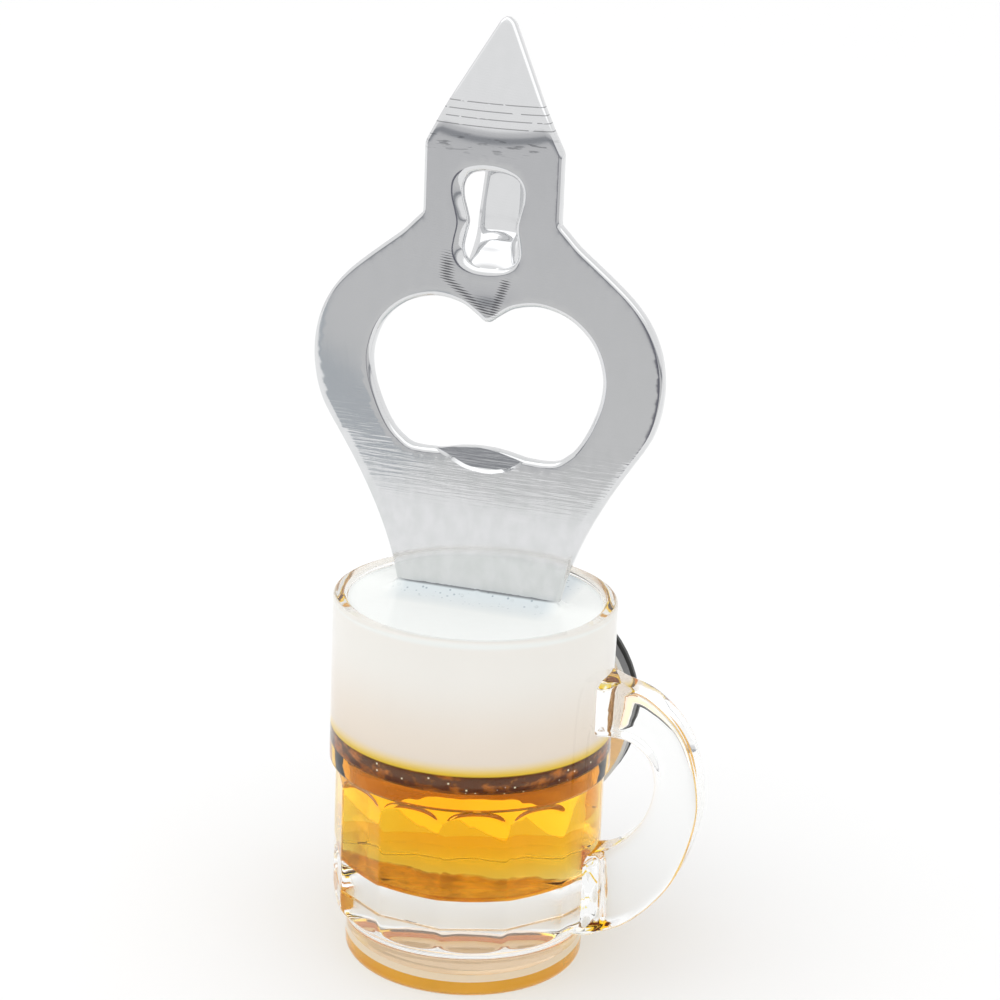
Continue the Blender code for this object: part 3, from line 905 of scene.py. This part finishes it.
def foam_look():
    """White resin, warmer near the beer, with fine bubbles; painted dark brown shade where it dips into the
    beer, a painted glow along its lower edge, and painted shade and reflection by the blade.
    """
    material, n = new_material("white_resin_look")
    spot = n.add("SeparateXYZ", Vector=n.position())
    height = spot.outputs[2]
    colour = n.mix(n.span(height, 0.0345, 0.047, smooth=True),
                   (0.80, 0.705, 0.605, 1.0), (0.865, 0.84, 0.795, 1.0))
    colour = n.mix(n.span(height, 0.0500, 0.0505), colour, (0.88, 0.90, 0.88, 1.0))

    # painted shade and a painted reflection of the blade, greying the foam in front of it
    ahead = n.minus(BLADE_FACE, spot.outputs[1])
    beside = n.absolute(n.minus(spot.outputs[0], BLADE_MIDDLE))
    by_blade = n.times(n.span(beside, 0.0098, 0.0120, 1.0, 0.0), n.above(height, 0.0504))
    dull = n.times(n.span(ahead, 0.0003, 0.0055, 0.75, 0.0), by_blade)
    colour = n.mix(dull, colour, (0.56, 0.63, 0.67, 1.0))
    # small open bubbles, painted dark as the shade inside them
    bubble_pit_shade = n.times(n.dots(1500.0, 0, 0.45, 0.20, 0.28),
                    n.times(n.span(ahead, 0.0006, 0.0034, 1.0, 0.0), by_blade))
    colour = n.mix(n.times(bubble_pit_shade, 0.8), colour, (0.30, 0.36, 0.41, 1.0))
    # a painted shadow line where the foam meets the blade
    painted_contact_shadow = n.times(n.span(n.absolute(ahead), 0.00012, 0.0003, 1.0, 0.0), by_blade)
    colour = n.mix(n.times(painted_contact_shadow, 0.9), colour, (0.12, 0.13, 0.14, 1.0))

    # a painted golden glow of the beer's light along the foam's edge next to the beer, and a few specks of
    # dirt
    painted_beer_glow = n.span(height, 0.0325, 0.0345, 1.0, 0.0, smooth=True)
    colour = n.mix(painted_beer_glow, colour, (0.86, 0.60, 0.06, 1.0))
    colour = n.mix(n.times(n.dots(170.0, 0, 0.06, 0.03, 0.05), 0.65), colour, (0.25, 0.2, 0.15, 1.0))

    # the part that dips into the beer: painted dark brown shade with orange painted glints, and pale bubbles
    cloud = n.noise(n.scaled(1.0, 1.0, 1.6), 330.0, 4.0, 0.65)
    painted_dip_shade = n.mix(n.span(cloud, 0.50, 0.68), (0.095, 0.022, 0.004, 1.0), (0.50, 0.15, 0.015, 1.0))
    painted_dip_shade = n.mix(n.dots(900.0, 0, 0.75, 0.10, 0.14), painted_dip_shade, (1.0, 0.95, 0.90, 1.0))
    colour = n.mix(n.span(height, 0.03220, 0.03245, 1.0, 0.0), colour, painted_dip_shade)

    # a rippled skin, pitted where it creeps up the blade
    normal = n.bump(n.noise(n.scaled(), 260.0), 0.12, 0.0003)
    pits = n.times(n.dots(900.0, 1, 0.35, 0.05, 0.30), n.span(height, 0.05068, 0.05100))
    normal = n.bump(pits, 0.8, -0.0002, normal)
    n.surface(n.add("BsdfPrincipled", Base_Color=colour, Roughness=0.14, Normal=normal))
    return material


def tool_marks(n, off, foot):
    """Fans of short press strokes: one down each side of the window's foot, joined along the tooth."""
    lower = n.least(n.minus(foot, 1.0 * MM), 0.0)
    left = n.minus(n.times(lower, -1.42), 5.65 * MM)
    right = n.plus(n.times(lower, 0.40), 2.3 * MM)
    left_gone, right_gone = (n.absolute(n.minus(off, line)) for line in (left, right))
    left_fan = n.times(n.span(left_gone, 0.2 * MM, 1.2 * MM, 1.0, 0.0), n.span(foot, 5.0 * MM, 3.0 * MM))
    right_fan = n.times(n.span(right_gone, 0.2 * MM, 0.9 * MM, 1.0, 0.0), n.span(foot, 1.9 * MM, 1.2 * MM))
    between = n.times(n.above(off, left), n.below(off, right))
    low = n.times(n.span(foot, -0.6 * MM, -1.6 * MM), 0.45)
    fans = n.most(n.most(left_fan, right_fan), n.times(between, low))
    fans = n.times(fans, n.span(foot, -3.6 * MM, -3.1 * MM))
    jitter = n.times(n.noise(n.scaled(260.0, 1.0, 900.0)), 0.3 * MM)
    level = n.plus(n.plus(foot, n.times(off, 0.10)), jitter)
    gap = n.from_middle(level, 0.34 * MM)
    return n.span(n.minus(gap, n.times(fans, 0.32)), -0.05, 0.02, 1.0, 0.0)


def chrome_look():
    """Plated steel: faint waves and scratches, press lines over the bend, and tool marks."""
    material, n = new_material("chrome_look")
    spot = n.add("SeparateXYZ", Vector=n.position())
    height = spot.outputs[2]
    waves = n.noise(n.scaled(170.0, 170.0, 3300.0))
    low = n.times(n.span(height, 0.063, 0.068, 0.08, 1.0), n.span(height, 0.079, 0.070, 0.03, 1.0))
    normal = n.bump(waves, n.times(low, 0.12), 0.0001)
    normal = n.bump(n.noise(n.scaled(60.0, 60.0, 130.0), 1.0, 1.0), 0.02, 0.001, normal)
    scratch = n.noise(n.scaled(1100.0, 1100.0, 160.0, (0.0, 0.5, 0.0)))
    normal = n.bump(scratch, n.span(height, 0.090, 0.060, 0.01, 0.05), 0.0001, normal)

    # fine mottling, stronger low on the blade
    grain = n.span(n.noise(n.scaled(700.0, 700.0, 420.0), 1.0, 3.0), 0.35, 0.65)
    mottle = n.times(grain, n.span(height, 0.075, 0.064, 0.15, 0.7))
    metal = n.mix(mottle, (0.73, 0.735, 0.745, 1.0), (0.65, 0.665, 0.665, 1.0))

    # press lines across the bend, broken in places, and streaks just under it
    off = n.minus(spot.outputs[0], BLADE_MIDDLE)
    sag = n.times(n.times(off, off), 4.0)
    level = n.minus(n.minus(height, sag), BEND_LEVEL)
    groove = n.below(n.from_middle(level, 0.00098), 0.07)
    zone = n.times(n.above(level, 0.0), n.below(level, 0.0039))
    broken = n.above(n.noise(n.scaled(500.0, 1.0, 900.0)), 0.42)
    groove = n.times(n.times(groove, zone), broken)
    colour = n.mix(n.times(groove, 0.6), metal, (0.12, 0.12, 0.13, 1.0))
    front = n.below(n.part(n.add("NewGeometry").outputs["Normal"], 1), 0.0)
    under_bend = n.times(n.span(level, -0.0034, -0.0022), n.span(level, -0.0004, -0.0012))
    streak = n.times(n.span(n.noise(n.scaled(420.0, 1.0, 2400.0)), 0.56, 0.64), n.times(under_bend, front))
    colour = n.mix(n.times(streak, 0.55), colour, (0.16, 0.17, 0.18, 1.0))
    stroke = n.times(tool_marks(n, off, n.minus(height, FOOT_LEVEL)), front)
    colour = n.mix(n.times(stroke, 0.8), colour, (0.08, 0.08, 0.09, 1.0))
    n.surface(n.add("BsdfPrincipled", Base_Color=colour, Metallic=1.0, Roughness=0.09, Normal=normal))
    return material


def lens_look():
    """The pressed lip: upright grinding marks on its floor, and a painted highlight on the bevel below, set
    by how far each face tilts.
    """
    material, n = new_material("lens_look")
    grain = n.noise(n.scaled(1.0, 1.0, 0.06), 3200.0, 3.0)
    tilt = n.absolute(n.part(n.add("NewGeometry").outputs["Normal"], 2))
    floor = n.mix(n.span(grain, 0.35, 0.65), (0.50, 0.51, 0.52, 1.0), (0.72, 0.73, 0.74, 1.0))
    # painted highlight: faces tilted up or down are coloured bright
    colour = n.mix(n.span(tilt, 0.2, 0.35), floor, (0.92, 0.92, 0.93, 1.0))
    normal = n.bump(grain, 0.03, 0.0001)
    n.surface(n.add("BsdfPrincipled", Base_Color=colour, Metallic=1.0, Roughness=0.14, Normal=normal))
    return material


def plate_look():
    """Nickel plate: a darker turned rim, and a face painted bright that also glows, more when seen through
    the clear pieces: painted light in place of what the glue and resin would bring it.
    """
    material, n = new_material("plate_look")
    facing = n.absolute(n.part(n.add("NewGeometry").outputs["Normal"], 1))
    front = n.span(facing, 0.5, 0.8)
    # the face is painted bright as painted light; the rim is darker
    colour = n.mix(front, (0.13, 0.13, 0.13, 1.0), (0.62, 0.60, 0.56, 1.0))
    normal = n.bump(n.noise(n.scaled(), 900.0, 4.0), 0.1, 0.0001)
    # painted glow: the face gives off light, more when seen through the clear pieces
    painted_glow = n.span(n.add("LightPath").outputs["Transmission Depth"], 0.5, 1.5, 0.2, 0.78)
    bsdf = n.add("BsdfPrincipled", Base_Color=colour, Metallic=1.0, Roughness=0.3, Normal=normal)
    n.put(bsdf, "Emission Color", (1.0, 0.97, 0.90, 1.0))
    n.put(bsdf, "Emission Strength", n.times(front, painted_glow))
    n.surface(bsdf)
    return material


def glue_look():
    """Cloudy clear glue, with flow streaks."""
    material, n = new_material("glue_look")
    streak = n.noise(n.scaled(1.0, 1.0, 2.5), 220.0, 4.0, 0.6)
    tint = n.mix(n.span(streak, 0.35, 0.65), (0.62, 0.44, 0.28, 1.0), (0.90, 0.74, 0.55, 1.0))
    body = n.add("BsdfPrincipled", Base_Color=(0.80, 0.66, 0.48, 1.0), Roughness=0.25)
    n.surface(n.blend(n.span(streak, 0.3, 0.7, 0.7, 0.85), body, n.clear(tint)))
    return material


def plain_look(name, colour, roughness):
    """A plain material with a fine grain."""
    material, n = new_material(name)
    normal = n.bump(n.noise(n.scaled(), 900.0, 4.0), 0.1, 0.0001)
    n.surface(n.add("BsdfPrincipled", Base_Color=(*colour, 1.0), Roughness=roughness, Normal=normal))
    return material


# ------------------------------------------------------------------ stage, light and camera
GREY_ROOM = 0.62
FLOOR_WHITE = 0.895
# the floor's outline, whose front left edge lets a greyer room show in the reflections
FLOOR_EDGE = [(-3.0, -3.2, 0), (-0.50, -0.64, 0), (-0.112, -0.222, 0), (-0.094, -0.205, 0),
              (-0.070, -0.199, 0), (3.0, -0.199, 0), (3.0, 3.0, 0), (-3.0, 3.0, 0)]
DULL_EDGE = [(-0.50, -0.70, 0), (-0.115, -0.262, 0), (-0.096, -0.245, 0)]
CAMERA_TURN = (18.86, 18.14, 2.14)           # azimuth, elevation and roll, in degrees
CAMERA_DISTANCE = 0.37539
CAMERA_LENS = 102.293
CAMERA_SHIFT = (0.02196, 0.03372)
CAMERA_TARGET = 0.060                        # height of the point that it looks at


def make_world():
    """A white room above and behind the table, and a greyer one with dark strips, seen only in
    reflections, below the table's front edge."""
    world = bpy.data.worlds.new("studio")
    bpy.context.scene.world = world
    world.use_nodes = True
    n = Nodes(world.node_tree)
    background = world.node_tree.nodes["Background"]
    parts = n.add("SeparateXYZ", Vector=n.add("TexCoord").outputs["Generated"])
    depth, rise = parts.outputs[1], parts.outputs[2]
    front = n.span(depth, 0.1, -0.3, smooth=True)
    room = (0.97, 0.97, 0.97, 1.0)
    grey = n.mix(n.span(rise, -0.28, -0.16), (GREY_ROOM * 1.12,) * 3 + (1.0,),
                 (GREY_ROOM, GREY_ROOM, GREY_ROOM * 1.02, 1.0))
    strip = n.times(n.span(rise, -0.15, -0.135), n.span(rise, -0.06, -0.075))
    grey = n.mix(strip, grey, (0.30, 0.31, 0.33, 1.0))
    slant = n.over(parts.outputs[0], n.times(depth, -1.0))
    left = n.times(n.span(slant, -0.90, -0.84), n.span(slant, -0.66, -0.72))
    right = n.times(n.span(slant, -0.20, -0.17), n.span(slant, -0.04, -0.07))
    grey = n.mix(n.most(left, right), grey, (0.15, 0.15, 0.18, 1.0))
    soft_box = n.mix(n.span(rise, 0.45, 0.60), room, (1.45, 1.45, 1.45, 1.0))
    ahead = n.mix(n.span(rise, -0.02, 0.02), grey, soft_box)
    seen = n.add("LightPath").outputs["Is Camera Ray"]
    n.put(background, "Color", n.mix(seen, n.mix(front, room, ahead), room))
    n.put(background, "Strength", 1.0)


def make_floor():
    """A pale table top with a dull strip along its front left edge."""
    mesh = bpy.data.meshes.new("floor")
    corners = len(FLOOR_EDGE)
    mesh.from_pydata(FLOOR_EDGE + DULL_EDGE, [],
                     [tuple(range(corners)), (1, corners, corners + 1, corners + 2, 3, 2)])
    floor = bpy.data.objects.new("floor", mesh)
    bpy.context.scene.collection.objects.link(floor)
    pale, n = new_material("floor_look")
    n.surface(n.add("BsdfPrincipled", Base_Color=(FLOOR_WHITE, FLOOR_WHITE, FLOOR_WHITE, 1.0), Roughness=0.7))
    mesh.materials.append(pale)
    edge, n = new_material("floor_edge_look")
    dull = n.add("BsdfPrincipled", Base_Color=(0.36, 0.39, 0.42, 1.0), Roughness=0.7)
    n.surface(n.blend(n.add("LightPath").outputs["Is Camera Ray"], dull, n.clear(WHITE)))
    mesh.materials.append(edge)
    mesh.polygons[1].material_index = 1


def make_light():
    """One soft lamp above, to the left."""
    light = bpy.data.lights.new("key", "AREA")
    light.energy = 0.4
    light.size = 0.5
    key = bpy.data.objects.new("key", light)
    key.location = (-0.4, -0.1, 0.7)
    key.rotation_euler = (Vector((0, 0, 0.05)) - key.location).to_track_quat("-Z", "Y").to_euler()
    bpy.context.scene.collection.objects.link(key)
    bpy.context.scene.view_settings.view_transform = "Standard"


def make_camera():
    azimuth, elevation, roll = (math.radians(a) for a in CAMERA_TURN)
    level = math.cos(elevation)
    back = Vector((math.sin(azimuth) * level, -math.cos(azimuth) * level, math.sin(elevation)))
    right = Vector((math.cos(azimuth), math.sin(azimuth), 0.0))
    up = back.cross(right)
    side = right * math.cos(roll) + up * math.sin(roll)
    top = up * math.cos(roll) - right * math.sin(roll)
    data = bpy.data.cameras.new("camera")
    data.lens = CAMERA_LENS
    data.sensor_width = 36.0
    data.shift_x, data.shift_y = CAMERA_SHIFT
    data.clip_start = 0.01
    camera = bpy.data.objects.new("camera", data)
    spot = AXIS + Vector((0.0, 0.0, CAMERA_TARGET)) + back * CAMERA_DISTANCE
    camera.matrix_world = Matrix((
        (side.x, top.x, back.x, spot.x),
        (side.y, top.y, back.y, spot.y),
        (side.z, top.z, back.z, spot.z),
        (0.0, 0.0, 0.0, 1.0)))
    bpy.context.scene.collection.objects.link(camera)
    bpy.context.scene.camera = camera


make_camera()
make_world()
make_floor()
make_light()
make_mug([clear_look("clear_plastic_look", (0.985, 0.99, 0.985)), contact_look(),
          # painted light: the recess's peach stands in for the table lit through the beer, the foot ring's
          # amber for the beer seen through the plastic
          underside_look("underside_look", (0.95, 0.84, 0.74), 0.75),
          underside_look("foot_ring_look", (0.86, 0.50, 0.08), 0.85), wet_look()])
make_beer(beer_look())
make_foam(foam_look())
make_blade(chrome_look(), lens_look())
for node, look in (("glue_bed", glue_look()),
                   ("magnet_plate", plate_look()),
                   ("magnet_epoxy", plain_look("epoxy_look", (0.3, 0.27, 0.2), 0.3)),
                   ("ferrite_magnet", plain_look("ferrite_look", (0.05, 0.05, 0.05), 0.5))):
    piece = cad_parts[node]
    piece.data.materials.clear()
    piece.data.materials.append(look)
